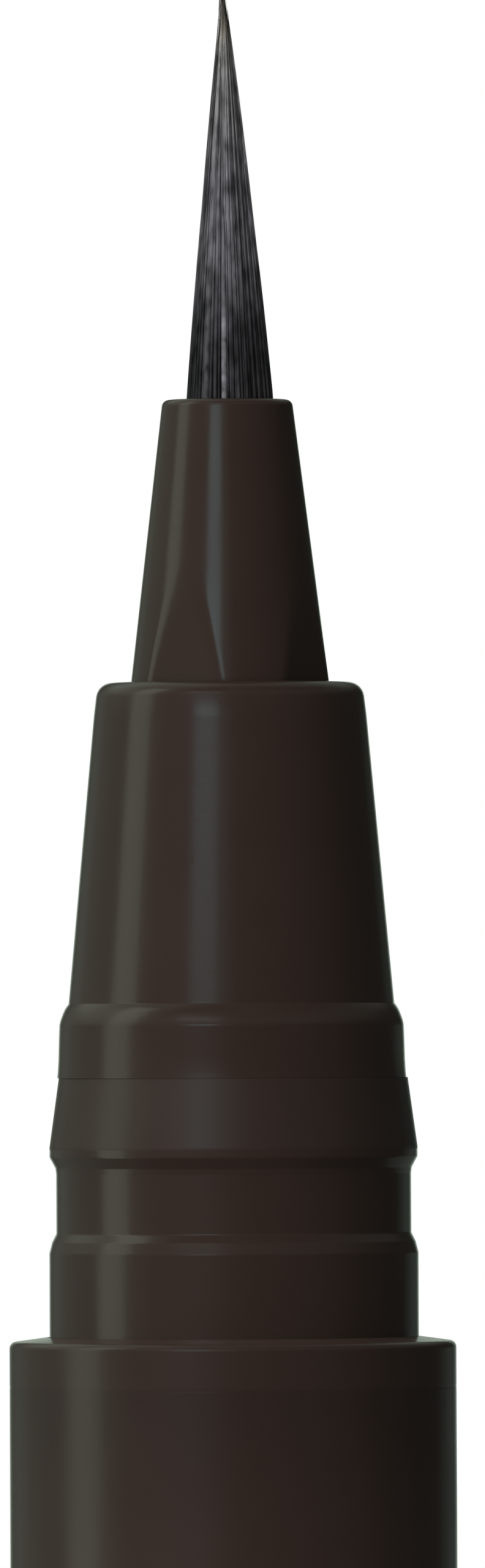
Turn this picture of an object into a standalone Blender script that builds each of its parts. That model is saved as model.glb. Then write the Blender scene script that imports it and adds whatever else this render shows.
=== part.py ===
"""A liquid eyebrow pen that stands brush up on its posted cap.

The pen's axis is +Z, the origin is the middle of the face it stands on, and lengths are in metres.
Heights in the front of the pen are counted up from the rim of the barrel. Depths in the cap are
counted from its open mouth towards its closed end.
"""
import math

import bmesh
import bpy
from mathutils import Matrix, Vector

MM = 0.001

# Fits
PRESS_GAP = 0.04 * MM
SLIDE_GAP = 0.05 * MM
SEAM_GAP = 0.02 * MM
SEAT_GAP = 0.05 * MM

# Brush
BRUSH_RADIUS = 0.908 * MM
BRUSH_LENGTH = 8.70 * MM
BRUSH_POINT_LENGTH = 2.20 * MM
BRUSH_SHOULDER_RADIUS = 0.265 * MM
BRUSH_LEAN = 0.15 * MM
BRUSH_SINK = 0.35 * MM
BRUSH_BACKING = 0.30 * MM
STRAND_COUNT = 320
STRAND_GAP = 0.016 * MM
STRAND_ROOT = 0.12 * MM
SHORT_STRANDS = 0.3
SHORTEST_STRAND = 4.2 * MM
EARLIEST_POINT = 0.20
LATEST_POINT = 0.86
TIP_SEQUENCE = 0.7548777
ROOT_LENGTH = 5.0 * MM
ROOT_FLANGE_STEP = 0.22 * MM
ROOT_FLANGE_LENGTH = 0.60 * MM

# Nose cone
NOSE_LENGTH = 6.01 * MM
NOSE_TIP_WALL = 0.43 * MM
NOSE_TIP_ROUND = 0.15 * MM
NOSE_FOOT_RADIUS = 2.105 * MM
NOSE_NECK_LENGTH = 2.0 * MM
NOSE_FLANGE_STEP = 0.30 * MM
NOSE_FLANGE_LENGTH = 1.3 * MM
NOSE_STEM_LENGTH = 5.6 * MM
NOSE_STEM_INSET = 0.06 * MM
FLAT_COUNT = 4
FLAT_DEPTH = 0.14 * MM
FLAT_TILT = math.radians(3.4)
FLAT_AZIMUTH = math.radians(239)

# Relay core and the bush behind the brush
RELAY_RADIUS = 0.80 * MM
RELAY_CHAMFER = 0.20 * MM
RELAY_REACH = 1.0 * MM
RETAINER_LENGTH = 4.2 * MM

# Front sleeve
SLEEVE_LENGTH = 6.76 * MM
SLEEVE_TIP_WALL = 0.675 * MM
SLEEVE_TIP_ROUND = 0.38 * MM
SLEEVE_FOOT_INSET = 0.228 * MM
RING_LENGTH = 1.63 * MM
RING_ROUND_HEIGHT = 0.74 * MM
RING_ROUND_START = 75
RING_INSET = 0.075 * MM
SLEEVE_STEM_WALL = 0.415 * MM
SLEEVE_STEM_LENGTH = 9.6 * MM

# Snap collar
COLLAR_WALL = 0.855 * MM
GROOVE_DEPTH = 0.15 * MM
GROOVE_LENGTH = 1.30 * MM
SEAT_RING_LENGTH = 2.02 * MM
SEAT_CHAMFER_LENGTH = 0.30 * MM
RIDGE_STEP = 0.125 * MM
RIDGE_FLANK_LENGTH = 0.35 * MM
RIDGE_CREST_LENGTH = 0.09 * MM
LEAD_IN_LENGTH = 1.54 * MM
COLLAR_STEM_LENGTH = 9.0 * MM

# Barrel
BARREL_WALL = 0.805 * MM
BARREL_LENGTH = 88.0 * MM
BARREL_RIM_CHAMFER = 0.05 * MM

# Collector and tank seal
FIN_COUNT = 14
FIN_THICKNESS = 0.55 * MM
FIN_PITCH = 1.6 * MM
FIN_CLEARANCE = 0.20 * MM
COLLECTOR_CORE_WALL = 0.90 * MM
COLLECTOR_STUB_GAP = 0.30 * MM
INK_SLOT_WIDTH = 0.5 * MM
INK_SLOT_DEPTH = 0.35 * MM
AIR_NOTCH_WIDTH = 1.8 * MM
AIR_NOTCH_DEPTH = 0.7 * MM
SEAL_LENGTH = 2.4 * MM
SEAL_LIP_LENGTH = 0.6 * MM
SEAL_LIP_TAPER = 0.3 * MM
SEAL_LIP_STEP = 0.25 * MM
PART_GAP = 0.10 * MM

# Tail plug and mixing ball
PLUG_INSERT_LENGTH = 5.0 * MM
PLUG_WALL = 0.95 * MM
PLUG_FLOOR = 1.3 * MM
SPIGOT_LENGTH = 6.5 * MM
SPIGOT_CHAMFER = 0.4 * MM
BALL_RADIUS = 1.5 * MM

# Cap
CAP_BEAD_LENGTH = 0.50 * MM
CAP_BEAD_FLANK = 0.20 * MM
CAP_EDGE_ROUND = 0.35 * MM
CAP_RIM_CHAMFER = 0.05 * MM
SEAL_BELOW_MOUTH = 2.45 * MM
SEAL_TRAVEL = 0.66 * MM
TIP_CLEARANCE = 1.3 * MM
GUIDE_LEAD = 0.30 * MM
INNER_CAP_WALL = 0.63 * MM
INNER_CAP_FLOOR = 0.80 * MM
INNER_FLANGE_STEP = 0.30 * MM
INNER_FLANGE_LENGTH = 1.0 * MM
SPRING_POST_RADIUS = 1.6 * MM
INNER_POST_LENGTH = 1.0 * MM
CROWN_POST_LENGTH = 1.8 * MM
CROWN_PLUG_LENGTH = 2.0 * MM
CROWN_THICKNESS = 1.2 * MM
SPRING_LENGTH = 5.4 * MM
SPRING_WIRE_RADIUS = 0.20 * MM
SPRING_CLEARANCE = 0.25 * MM
SPRING_TURNS = 5
SPRING_POINTS_PER_TURN = 10

# Fineness of the turned pieces
OUTER_STEPS = 48
INNER_STEPS = 32
CORE_STEPS = 24
ROUND_STEPS = 4
SHARP_ANGLE = math.radians(30)

# Strands stand in a sunflower spiral, whose nearest neighbours are at least this many steps apart
GOLDEN_ANGLE = math.pi * (3 - math.sqrt(5))
SPIRAL_NEAREST = 1.5
spiral_step = BRUSH_RADIUS / math.sqrt(STRAND_COUNT)
strand_radius = (SPIRAL_NEAREST * spiral_step - STRAND_GAP) / 2
strand_field = BRUSH_RADIUS - strand_radius
brush_shoulder = BRUSH_LENGTH - BRUSH_POINT_LENGTH

# Radii, each worked out from the piece inside it
nose_bore = BRUSH_RADIUS + PRESS_GAP
nose_tip_radius = nose_bore + NOSE_TIP_WALL
root_flange_radius = BRUSH_RADIUS + ROOT_FLANGE_STEP
nose_rear_bore = root_flange_radius + PRESS_GAP
relay_bore = RELAY_RADIUS + SLIDE_GAP
nose_flange_radius = NOSE_FOOT_RADIUS + NOSE_FLANGE_STEP
sleeve_mouth_bore = NOSE_FOOT_RADIUS + PRESS_GAP
sleeve_chamber = nose_flange_radius + PRESS_GAP
sleeve_tip_radius = sleeve_mouth_bore + SLEEVE_TIP_WALL
sleeve_stem_radius = sleeve_chamber + SLEEVE_STEM_WALL
collar_bore = sleeve_stem_radius + PRESS_GAP
groove_radius = collar_bore + COLLAR_WALL
ring_radius = groove_radius - RING_INSET
sleeve_foot_radius = ring_radius - SLEEVE_FOOT_INSET
ridge_radius = groove_radius + RIDGE_STEP
seat_radius = groove_radius + GROOVE_DEPTH
barrel_bore = seat_radius + PRESS_GAP
barrel_radius = barrel_bore + BARREL_WALL
cap_mouth_radius = barrel_bore
cap_bead_radius = groove_radius + PRESS_GAP
spigot_radius = cap_bead_radius - SLIDE_GAP

# Heights above the rim of the barrel
groove_foot = SEAT_RING_LENGTH + SEAT_CHAMFER_LENGTH
groove_top = groove_foot + GROOVE_LENGTH
ridge_foot = groove_top + RIDGE_FLANK_LENGTH
ridge_crest = ridge_foot + RIDGE_CREST_LENGTH
collar_top = ridge_crest + LEAD_IN_LENGTH
ring_foot = collar_top + SEAM_GAP
ring_top = ring_foot + RING_LENGTH
sleeve_top = ring_top + SLEEVE_LENGTH
nose_top = sleeve_top + NOSE_LENGTH
brush_tip = nose_top + BRUSH_LENGTH
backing_top = nose_top - BRUSH_SINK
root_top = backing_top - BRUSH_BACKING - SEAT_GAP
root_foot = root_top - ROOT_LENGTH
retainer_top = root_foot - ROOT_FLANGE_LENGTH - SEAT_GAP
nose_neck_foot = sleeve_top - NOSE_NECK_LENGTH
nose_flange_foot = nose_neck_foot - NOSE_FLANGE_LENGTH
nose_foot = nose_flange_foot - NOSE_STEM_LENGTH
sleeve_foot = ring_foot - SLEEVE_STEM_LENGTH
collar_foot = -COLLAR_STEM_LENGTH
fins_top = collar_foot - PART_GAP
fins_foot = fins_top - FIN_COUNT * FIN_PITCH
seal_top = fins_foot - PART_GAP
seal_foot = seal_top - SEAL_LENGTH
relay_foot = seal_foot - RELAY_REACH

# Depths in the cap, from its mouth
seal_height = sleeve_top - SEAL_BELOW_MOUTH
sleeve_slope = (sleeve_foot_radius - sleeve_tip_radius) / SLEEVE_LENGTH
inner_cap_bore = sleeve_tip_radius + sleeve_slope * SEAL_BELOW_MOUTH
inner_cap_radius = inner_cap_bore + INNER_CAP_WALL
inner_flange_radius = inner_cap_radius + INNER_FLANGE_STEP
cap_guide_radius = inner_cap_radius + SLIDE_GAP
cap_chamber_radius = inner_flange_radius + SLIDE_GAP
lip_depth = seal_height - SEAL_TRAVEL
well_floor = brush_tip + TIP_CLEARANCE - SEAL_TRAVEL
inner_back = well_floor + INNER_CAP_FLOOR
guide_start = lip_depth - GUIDE_LEAD
chamber_start = inner_back - INNER_FLANGE_LENGTH - SEAT_GAP
spring_start = inner_back + PART_GAP
crown_plug_face = spring_start + SPRING_LENGTH + PART_GAP
shell_end = crown_plug_face + CROWN_PLUG_LENGTH
crown_face = shell_end + SEAM_GAP
cap_length = crown_face + CROWN_THICKNESS
bead_depth = (groove_foot + groove_top) / 2
barrel_foot_z = cap_length + SEAT_GAP
barrel_rim_z = barrel_foot_z + BARREL_LENGTH

for leftover in list(bpy.data.objects):
    bpy.data.objects.remove(leftover)

pen = bpy.data.collections.new("eyebrow_pen")
cutters = bpy.data.collections.new("cutters")
bpy.context.scene.collection.children.link(pen)
bpy.context.scene.collection.children.link(cutters)


def finish(name, colour, roughness, metallic=0.0):
    """A Principled material of one colour, for one piece."""
    material = bpy.data.materials.new(name)
    material.use_nodes = True
    shader = material.node_tree.nodes["Principled BSDF"]
    shader.inputs["Base Color"].default_value = (*colour, 1.0)
    shader.inputs["Roughness"].default_value = roughness
    shader.inputs["Metallic"].default_value = metallic
    return material


def joint_empty(name, z):
    """An empty on the pen's axis that carries the pieces placed from that height."""
    empty = bpy.data.objects.new(name, None)
    empty.location = (0.0, 0.0, z)
    pen.objects.link(empty)
    return empty


def arc(centre_radius, centre_height, across, along, start, end, steps):
    """Points (radius, height) on an elliptic arc, its angles in degrees from straight outwards."""
    points = []
    for step in range(steps + 1):
        angle = math.radians(start + (end - start) * step / steps)
        points.append((centre_radius + across * math.cos(angle), centre_height + along * math.sin(angle)))
    return points


def turned(name, profile, steps, material, parent, closed=True):
    """A body of revolution. The profile runs down its outer side, and back up its bore if it has one."""
    edges = [(index, index + 1) for index in range(len(profile) - 1)]
    if closed:
        edges.append((len(profile) - 1, 0))
    outline = bpy.data.meshes.new(name + "_profile")
    outline.from_pydata([(radius, 0.0, height) for radius, height in profile], edges, [])
    piece = bpy.data.objects.new(name, outline)
    pen.objects.link(piece)
    screw = piece.modifiers.new("turn", "SCREW")
    screw.angle = 2 * math.pi
    screw.steps = steps
    screw.render_steps = steps
    screw.use_merge_vertices = True
    screw.merge_threshold = 0.000001
    mesh = bpy.data.meshes.new_from_object(piece.evaluated_get(bpy.context.evaluated_depsgraph_get()))
    piece.modifiers.clear()
    piece.data = mesh
    bpy.data.meshes.remove(outline)
    mesh.name = name
    mesh.shade_smooth()
    mesh.set_sharp_from_angle(angle=SHARP_ANGLE)
    mesh.materials.append(material)
    piece.parent = parent
    return piece


def cutter_box(name, low, high, matrix, parent):
    """A box from low to high, moved by the matrix, that only cuts."""
    bpy.ops.mesh.primitive_cube_add(size=1.0)
    box = bpy.context.active_object
    box.name = name
    size = Vector(high) - Vector(low)
    centre = (Vector(high) + Vector(low)) / 2
    box.data.transform(matrix @ Matrix.Translation(centre) @ Matrix.Diagonal((*size, 1.0)))
    for home in list(box.users_collection):
        home.objects.unlink(box)
    cutters.objects.link(box)
    box.parent = parent
    box.hide_render = True
    box.display_type = "WIRE"
    return box


def combine(piece, other, operation):
    """Adds or cuts away the other object."""
    boolean = piece.modifiers.new(other.name, "BOOLEAN")
    boolean.operation = operation
    boolean.solver = "EXACT"
    boolean.object = other


front = joint_empty("front_datum", barrel_rim_z)
tail = joint_empty("tail_datum", barrel_foot_z)
cap = joint_empty("cap_datum", cap_length)

front_brown = finish("front_plastic", (0.030, 0.022, 0.018), 0.34)
barrel_brown = finish("barrel_plastic", (0.030, 0.022, 0.018), 0.32)
ink_fibre = finish("inked_filament", (0.014, 0.012, 0.013), 0.35)
bond = finish("bonded_filament", (0.020, 0.016, 0.015), 0.55)
felt = finish("relay_fibre", (0.110, 0.080, 0.060), 0.90)
milky = finish("natural_plastic", (0.620, 0.600, 0.560), 0.45)
soft_seal = finish("seal_rubber", (0.045, 0.043, 0.042), 0.70)
steel = finish("ball_steel", (0.560, 0.560, 0.570), 0.22, 1.0)
spring_steel = finish("spring_steel", (0.480, 0.480, 0.490), 0.30, 1.0)

# Brush: tapered three-sided strands spread over the backing and drawn in to one point
backing = turned(
    "brush_bristles",
    [(0.0, backing_top), (BRUSH_RADIUS, backing_top), (BRUSH_RADIUS, backing_top - BRUSH_BACKING),
     (0.0, backing_top - BRUSH_BACKING)],
    CORE_STEPS, ink_fibre, front, closed=False)


def brush_section(height):
    """The brush's spread, as a share of its foot, and its lean at a height above the nose cone."""
    shoulder = BRUSH_SHOULDER_RADIUS / BRUSH_RADIUS
    if height <= brush_shoulder:
        spread = 1 + (shoulder - 1) * height / brush_shoulder
    else:
        spread = shoulder * (BRUSH_LENGTH - height) / BRUSH_POINT_LENGTH
    return spread, -BRUSH_LEAN * height / BRUSH_LENGTH


def add_strand(mesh, root, turn, tip_height):
    """One strand from inside the backing, past the brush's shoulder if it is long, to its tip."""
    heights = [-BRUSH_SINK - STRAND_ROOT]
    if tip_height > brush_shoulder:
        heights.append(brush_shoulder)
    rings = []
    for height in heights:
        spread, lean = brush_section(max(height, 0.0))
        ring = []
        for corner in range(3):
            angle = turn + corner * 2 * math.pi / 3
            x = (root.x + strand_radius * math.cos(angle)) * spread + lean
            y = (root.y + strand_radius * math.sin(angle)) * spread
            ring.append(mesh.verts.new((x, y, nose_top + height)))
        rings.append(ring)
    spread, lean = brush_section(tip_height)
    tip = mesh.verts.new((root.x * spread + lean, root.y * spread, nose_top + tip_height))
    mesh.faces.new(reversed(rings[0]))
    for lower, upper in zip(rings, rings[1:]):
        for corner in range(3):
            after = (corner + 1) % 3
            mesh.faces.new((lower[corner], lower[after], upper[after], upper[corner]))
    for corner in range(3):
        mesh.faces.new((rings[-1][corner], rings[-1][(corner + 1) % 3], tip))


# The innermost strand reaches the tip. The others end at heights that a steady sequence spreads out.
strand_mesh = bmesh.new()
for number in range(STRAND_COUNT):
    distance = strand_field * math.sqrt((number + 0.5) / STRAND_COUNT)
    direction = number * GOLDEN_ANGLE
    draw = (number * TIP_SEQUENCE) % 1.0
    if number == 0:
        tip_height = BRUSH_LENGTH
    elif draw < SHORT_STRANDS:
        tip_height = SHORTEST_STRAND + (brush_shoulder - SHORTEST_STRAND) * draw / SHORT_STRANDS
    else:
        late = (draw - SHORT_STRANDS) / (1 - SHORT_STRANDS)
        point_share = EARLIEST_POINT + (LATEST_POINT - EARLIEST_POINT) * late
        tip_height = brush_shoulder + BRUSH_POINT_LENGTH * point_share
    foot = Vector((distance * math.cos(direction), distance * math.sin(direction), 0.0))
    add_strand(strand_mesh, foot, direction, tip_height)
strand_data = bpy.data.meshes.new("strands")
strand_mesh.to_mesh(strand_data)
strand_mesh.free()
strands = bpy.data.objects.new("strands", strand_data)
cutters.objects.link(strands)
strands.parent = front
strands.hide_render = True
strands.display_type = "WIRE"
combine(backing, strands, "UNION")

# Butt of the filament bundle, with the flange that is fused on at its end
turned(
    "brush_root",
    [(0.0, root_top), (BRUSH_RADIUS, root_top), (BRUSH_RADIUS, root_foot), (root_flange_radius, root_foot),
     (root_flange_radius, root_foot - ROOT_FLANGE_LENGTH), (0.0, root_foot - ROOT_FLANGE_LENGTH)],
    CORE_STEPS, bond, front, closed=False)

# Bush that holds the brush in the nose cone and guides the relay core
turned(
    "brush_retainer",
    [(relay_bore, retainer_top), (root_flange_radius, retainer_top),
     (root_flange_radius, retainer_top - RETAINER_LENGTH), (relay_bore, retainer_top - RETAINER_LENGTH)],
    CORE_STEPS, milky, front)

# Nose cone: the visible taper, a neck through the sleeve's mouth, a flange and a rear stem
nose = turned(
    "nose_cone",
    [(nose_bore, nose_top)]
    + arc(nose_tip_radius - NOSE_TIP_ROUND, nose_top - NOSE_TIP_ROUND, NOSE_TIP_ROUND, NOSE_TIP_ROUND, 90, 0,
          ROUND_STEPS)
    + [(NOSE_FOOT_RADIUS, sleeve_top),
       (NOSE_FOOT_RADIUS, nose_neck_foot - SEAT_GAP),
       (nose_flange_radius, nose_neck_foot - SEAT_GAP),
       (nose_flange_radius, nose_flange_foot),
       (NOSE_FOOT_RADIUS - NOSE_STEM_INSET, nose_flange_foot),
       (NOSE_FOOT_RADIUS - NOSE_STEM_INSET, nose_foot),
       (nose_rear_bore, nose_foot),
       (nose_rear_bore, root_foot + SEAT_GAP),
       (nose_bore, root_foot + SEAT_GAP)],
    OUTER_STEPS, front_brown, front)

# Flats that let air past the neck: the cutters lean in a little less than the cone does
for number in range(FLAT_COUNT):
    turn = Matrix.Rotation(FLAT_AZIMUTH + number * 2 * math.pi / FLAT_COUNT, 4, "Z")
    place = Matrix.Translation((NOSE_FOOT_RADIUS - FLAT_DEPTH, 0.0, sleeve_top))
    lean = Matrix.Rotation(-FLAT_TILT, 4, "Y")
    reach = sleeve_top - nose_flange_foot + PART_GAP
    flat = cutter_box(
        f"nose_flat_{number + 1}", (0.0, -NOSE_FOOT_RADIUS, -reach),
        (NOSE_FOOT_RADIUS, NOSE_FOOT_RADIUS, NOSE_LENGTH), turn @ place @ lean, front)
    combine(nose, flat, "DIFFERENCE")

# Front sleeve: taper and rounded ring, with the stem that is pressed into the collar
turned(
    "front_sleeve",
    [(sleeve_mouth_bore, sleeve_top)]
    + arc(sleeve_tip_radius + (sleeve_slope - 1) * SLEEVE_TIP_ROUND, sleeve_top - SLEEVE_TIP_ROUND,
          SLEEVE_TIP_ROUND, SLEEVE_TIP_ROUND, 90, 0, ROUND_STEPS)
    + [(sleeve_foot_radius, ring_top)]
    + arc(sleeve_foot_radius, ring_top - RING_ROUND_HEIGHT, SLEEVE_FOOT_INSET, RING_ROUND_HEIGHT,
          RING_ROUND_START, 0, ROUND_STEPS)
    + [(ring_radius, ring_foot), (sleeve_stem_radius, ring_foot), (sleeve_stem_radius, sleeve_foot),
       (sleeve_chamber, sleeve_foot), (sleeve_chamber, nose_neck_foot), (sleeve_mouth_bore, nose_neck_foot)],
    OUTER_STEPS, front_brown, front)

# Snap collar: lead-in, ridge, groove and seat ring, with the stem that is pressed into the barrel
turned(
    "snap_collar",
    [(collar_bore, collar_top), (ring_radius, collar_top), (ridge_radius, ridge_crest),
     (ridge_radius, ridge_foot), (groove_radius, groove_top), (groove_radius, groove_foot),
     (seat_radius, SEAT_RING_LENGTH), (seat_radius, collar_foot + GROOVE_DEPTH),
     (groove_radius, collar_foot), (collar_bore, collar_foot)],
    OUTER_STEPS, front_brown, front)

# Barrel
turned(
    "barrel",
    [(barrel_bore, 0.0), (barrel_radius - BARREL_RIM_CHAMFER, 0.0), (barrel_radius, -BARREL_RIM_CHAMFER),
     (barrel_radius, BARREL_RIM_CHAMFER - BARREL_LENGTH),
     (barrel_radius - BARREL_RIM_CHAMFER, -BARREL_LENGTH), (barrel_bore, -BARREL_LENGTH)],
    OUTER_STEPS, barrel_brown, front)

# Relay core, chamfered at both ends
relay_top = retainer_top - SEAT_GAP
turned(
    "relay_core",
    [(0.0, relay_top), (RELAY_RADIUS - RELAY_CHAMFER, relay_top), (RELAY_RADIUS, relay_top - RELAY_CHAMFER),
     (RELAY_RADIUS, relay_foot + RELAY_CHAMFER), (RELAY_RADIUS - RELAY_CHAMFER, relay_foot),
     (0.0, relay_foot)],
    CORE_STEPS, felt, front, closed=False)

# Collector: a comb of fins on a tube whose long stub stands in the sleeve's bore
collector_core = relay_bore + COLLECTOR_CORE_WALL
fin_radius = barrel_bore - FIN_CLEARANCE
stub_radius = sleeve_chamber - PRESS_GAP
stub_top = nose_foot - COLLECTOR_STUB_GAP
comb = [(relay_bore, stub_top), (stub_radius, stub_top), (stub_radius, fins_top)]
for number in range(FIN_COUNT):
    upper = fins_top - number * FIN_PITCH
    lower = upper - FIN_THICKNESS
    comb += [(fin_radius, upper), (fin_radius, lower), (collector_core, lower),
             (collector_core, upper - FIN_PITCH)]
comb.append((relay_bore, fins_foot))
collector = turned("collector", comb, CORE_STEPS, milky, front)
slot_foot = collector_core - INK_SLOT_DEPTH
ink_slot = cutter_box(
    "ink_slot", (slot_foot, -INK_SLOT_WIDTH / 2, fins_foot + PART_GAP),
    (barrel_radius, INK_SLOT_WIDTH / 2, fins_top - FIN_THICKNESS / 2), Matrix.Identity(4), front)
air_notch = cutter_box(
    "air_notch", (-barrel_radius, -AIR_NOTCH_WIDTH / 2, fins_foot - PART_GAP),
    (AIR_NOTCH_DEPTH - fin_radius, AIR_NOTCH_WIDTH / 2, fins_top + PART_GAP), Matrix.Identity(4), front)
combine(collector, ink_slot, "DIFFERENCE")
combine(collector, air_notch, "DIFFERENCE")

# Tank seal: a soft disc with a lip at each end
turned(
    "tank_seal",
    [(relay_bore, seal_top), (seat_radius, seal_top), (seat_radius, seal_top - SEAL_LIP_LENGTH),
     (seat_radius - SEAL_LIP_STEP, seal_top - SEAL_LIP_LENGTH - SEAL_LIP_TAPER),
     (seat_radius - SEAL_LIP_STEP, seal_foot + SEAL_LIP_LENGTH + SEAL_LIP_TAPER),
     (seat_radius, seal_foot + SEAL_LIP_LENGTH), (seat_radius, seal_foot), (relay_bore, seal_foot)],
    INNER_STEPS, soft_seal, front)

# Tail plug: a cup pressed into the barrel, with the spigot that the posted cap slides onto
plug_bore = spigot_radius - PLUG_WALL
plug_floor = PLUG_FLOOR - SPIGOT_LENGTH
turned(
    "tail_plug",
    [(0.0, plug_floor), (plug_bore, plug_floor), (plug_bore, PLUG_INSERT_LENGTH),
     (seat_radius, PLUG_INSERT_LENGTH), (seat_radius, 0.0), (spigot_radius, 0.0),
     (spigot_radius, SPIGOT_CHAMFER - SPIGOT_LENGTH), (spigot_radius - SPIGOT_CHAMFER, -SPIGOT_LENGTH),
     (0.0, -SPIGOT_LENGTH)],
    INNER_STEPS, front_brown, tail, closed=False)

# Mixing ball, resting in the plug's cup
bpy.ops.mesh.primitive_uv_sphere_add(segments=CORE_STEPS, ring_count=CORE_STEPS // 2, radius=BALL_RADIUS)
ball = bpy.context.active_object
ball.name = "mixing_ball"
for home in list(ball.users_collection):
    home.objects.unlink(ball)
pen.objects.link(ball)
ball.parent = tail
ball.location = (0.0, 0.0, plug_floor + SEAT_GAP + BALL_RADIUS)
ball.data.shade_smooth()
ball.data.materials.append(steel)

# Cap shell: mouth with its snap bead, guide bore for the inner cap, and a chamber for its flange and spring
bead_half = CAP_BEAD_LENGTH / 2
turned(
    "cap_shell",
    [(cap_mouth_radius, 0.0), (barrel_radius - CAP_RIM_CHAMFER, 0.0), (barrel_radius, -CAP_RIM_CHAMFER),
     (barrel_radius, -shell_end), (cap_chamber_radius, -shell_end), (cap_chamber_radius, -chamber_start),
     (cap_guide_radius, -chamber_start), (cap_guide_radius, -guide_start), (cap_mouth_radius, -guide_start),
     (cap_mouth_radius, -bead_depth - bead_half - CAP_BEAD_FLANK), (cap_bead_radius, -bead_depth - bead_half),
     (cap_bead_radius, bead_half - bead_depth), (cap_mouth_radius, bead_half + CAP_BEAD_FLANK - bead_depth)],
    OUTER_STEPS, barrel_brown, cap)

# Inner cap: the cup that closes on the sleeve's taper and keeps the brush moist
turned(
    "inner_cap",
    [(0.0, -well_floor), (inner_cap_bore, -well_floor), (inner_cap_bore, -lip_depth),
     (inner_cap_radius, -lip_depth), (inner_cap_radius, INNER_FLANGE_LENGTH - inner_back),
     (inner_flange_radius, INNER_FLANGE_LENGTH - inner_back), (inner_flange_radius, -inner_back),
     (SPRING_POST_RADIUS, -inner_back), (SPRING_POST_RADIUS, -inner_back - INNER_POST_LENGTH),
     (0.0, -inner_back - INNER_POST_LENGTH)],
    OUTER_STEPS, milky, cap, closed=False)

# Cap crown: pressed into the shell's end, it backs the spring and is the face that the pen stands on
turned(
    "cap_crown",
    [(0.0, CROWN_POST_LENGTH - crown_plug_face), (SPRING_POST_RADIUS, CROWN_POST_LENGTH - crown_plug_face),
     (SPRING_POST_RADIUS, -crown_plug_face), (cap_chamber_radius - PRESS_GAP, -crown_plug_face),
     (cap_chamber_radius - PRESS_GAP, -crown_face), (barrel_radius, -crown_face)]
    + arc(barrel_radius - CAP_EDGE_ROUND, CAP_EDGE_ROUND - cap_length, CAP_EDGE_ROUND, CAP_EDGE_ROUND, 0, -90,
          ROUND_STEPS)
    + [(0.0, -cap_length)],
    OUTER_STEPS, barrel_brown, cap, closed=False)

# Cap spring: one unbroken round wire between the inner cap and the crown
coil_radius = SPRING_POST_RADIUS + SPRING_WIRE_RADIUS + SPRING_CLEARANCE
coil_rise = SPRING_LENGTH - 2 * SPRING_WIRE_RADIUS
point_count = SPRING_TURNS * SPRING_POINTS_PER_TURN + 1
coil_points = []
for number in range(point_count):
    share = number / (point_count - 1)
    angle = share * SPRING_TURNS * 2 * math.pi
    depth = spring_start + SPRING_WIRE_RADIUS + share * coil_rise
    coil_points.append(Vector((coil_radius * math.cos(angle), coil_radius * math.sin(angle), -depth)))
coil = bpy.data.curves.new("cap_spring", "CURVE")
coil.dimensions = "3D"
coil.bevel_depth = SPRING_WIRE_RADIUS
coil.bevel_resolution = 1
coil.use_fill_caps = True
wire = coil.splines.new("POLY")
wire.points.add(point_count - 1)
for point, place in zip(wire.points, coil_points):
    point.co = (*place, 1.0)
coil.materials.append(spring_steel)
spring = bpy.data.objects.new("cap_spring", coil)
pen.objects.link(spring)
spring.parent = cap
half_turn = SPRING_POINTS_PER_TURN // 2
least_gap = min(
    (coil_points[first] - coil_points[second]).length
    for first in range(point_count)
    for second in range(first + half_turn, point_count)) - 2 * SPRING_WIRE_RADIUS
print(f"cap_spring: least gap to itself {least_gap / MM:.2f} mm")
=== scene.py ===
"""The looks of a liquid eyebrow pen, brush up on its posted cap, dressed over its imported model."""
import math

import bmesh
import bpy
from mathutils import Matrix, Vector


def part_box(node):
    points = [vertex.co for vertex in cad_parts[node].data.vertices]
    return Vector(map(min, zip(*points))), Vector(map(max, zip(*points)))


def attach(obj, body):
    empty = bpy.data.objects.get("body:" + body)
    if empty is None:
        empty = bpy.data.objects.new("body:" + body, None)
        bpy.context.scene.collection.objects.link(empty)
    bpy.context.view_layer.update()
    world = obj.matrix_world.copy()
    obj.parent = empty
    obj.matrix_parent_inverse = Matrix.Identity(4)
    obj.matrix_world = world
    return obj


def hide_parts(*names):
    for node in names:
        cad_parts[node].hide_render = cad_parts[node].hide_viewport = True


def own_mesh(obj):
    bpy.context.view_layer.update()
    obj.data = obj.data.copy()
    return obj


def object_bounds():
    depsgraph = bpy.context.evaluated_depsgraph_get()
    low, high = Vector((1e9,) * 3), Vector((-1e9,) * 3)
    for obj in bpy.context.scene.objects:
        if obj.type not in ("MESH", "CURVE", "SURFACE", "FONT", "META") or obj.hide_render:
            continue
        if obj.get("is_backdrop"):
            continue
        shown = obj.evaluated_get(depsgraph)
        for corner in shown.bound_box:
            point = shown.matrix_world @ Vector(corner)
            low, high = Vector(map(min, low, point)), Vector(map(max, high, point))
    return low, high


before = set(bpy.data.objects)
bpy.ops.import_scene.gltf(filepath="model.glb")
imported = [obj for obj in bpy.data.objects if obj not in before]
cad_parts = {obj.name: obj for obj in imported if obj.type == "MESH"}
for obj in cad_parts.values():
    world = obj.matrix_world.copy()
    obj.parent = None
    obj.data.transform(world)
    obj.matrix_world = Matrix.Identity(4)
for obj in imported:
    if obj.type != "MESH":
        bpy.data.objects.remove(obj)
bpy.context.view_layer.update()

# Barrel: one long tube of dark brown plastic, moulded with a satin skin. A witness line, left by
# the joint of the mould, sets off a shallow band at its top. Under the band, painted shade darkens
# the colour and fades further down, and a painted highlight lightens the rim's very edge.
# The pen's sizes are in millimetres, and the heights of its front count from this rim.
MM = 0.001
SHARP_ANGLE = math.radians(35)
BROWN = (0.0295, 0.0189, 0.0153)
SATIN_IOR = 1.46
BARREL_RADIUS = 4.75
BARREL_BORE = 3.945
BARREL_LIP = 3.932
BARREL_LENGTH = 88.0
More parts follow.
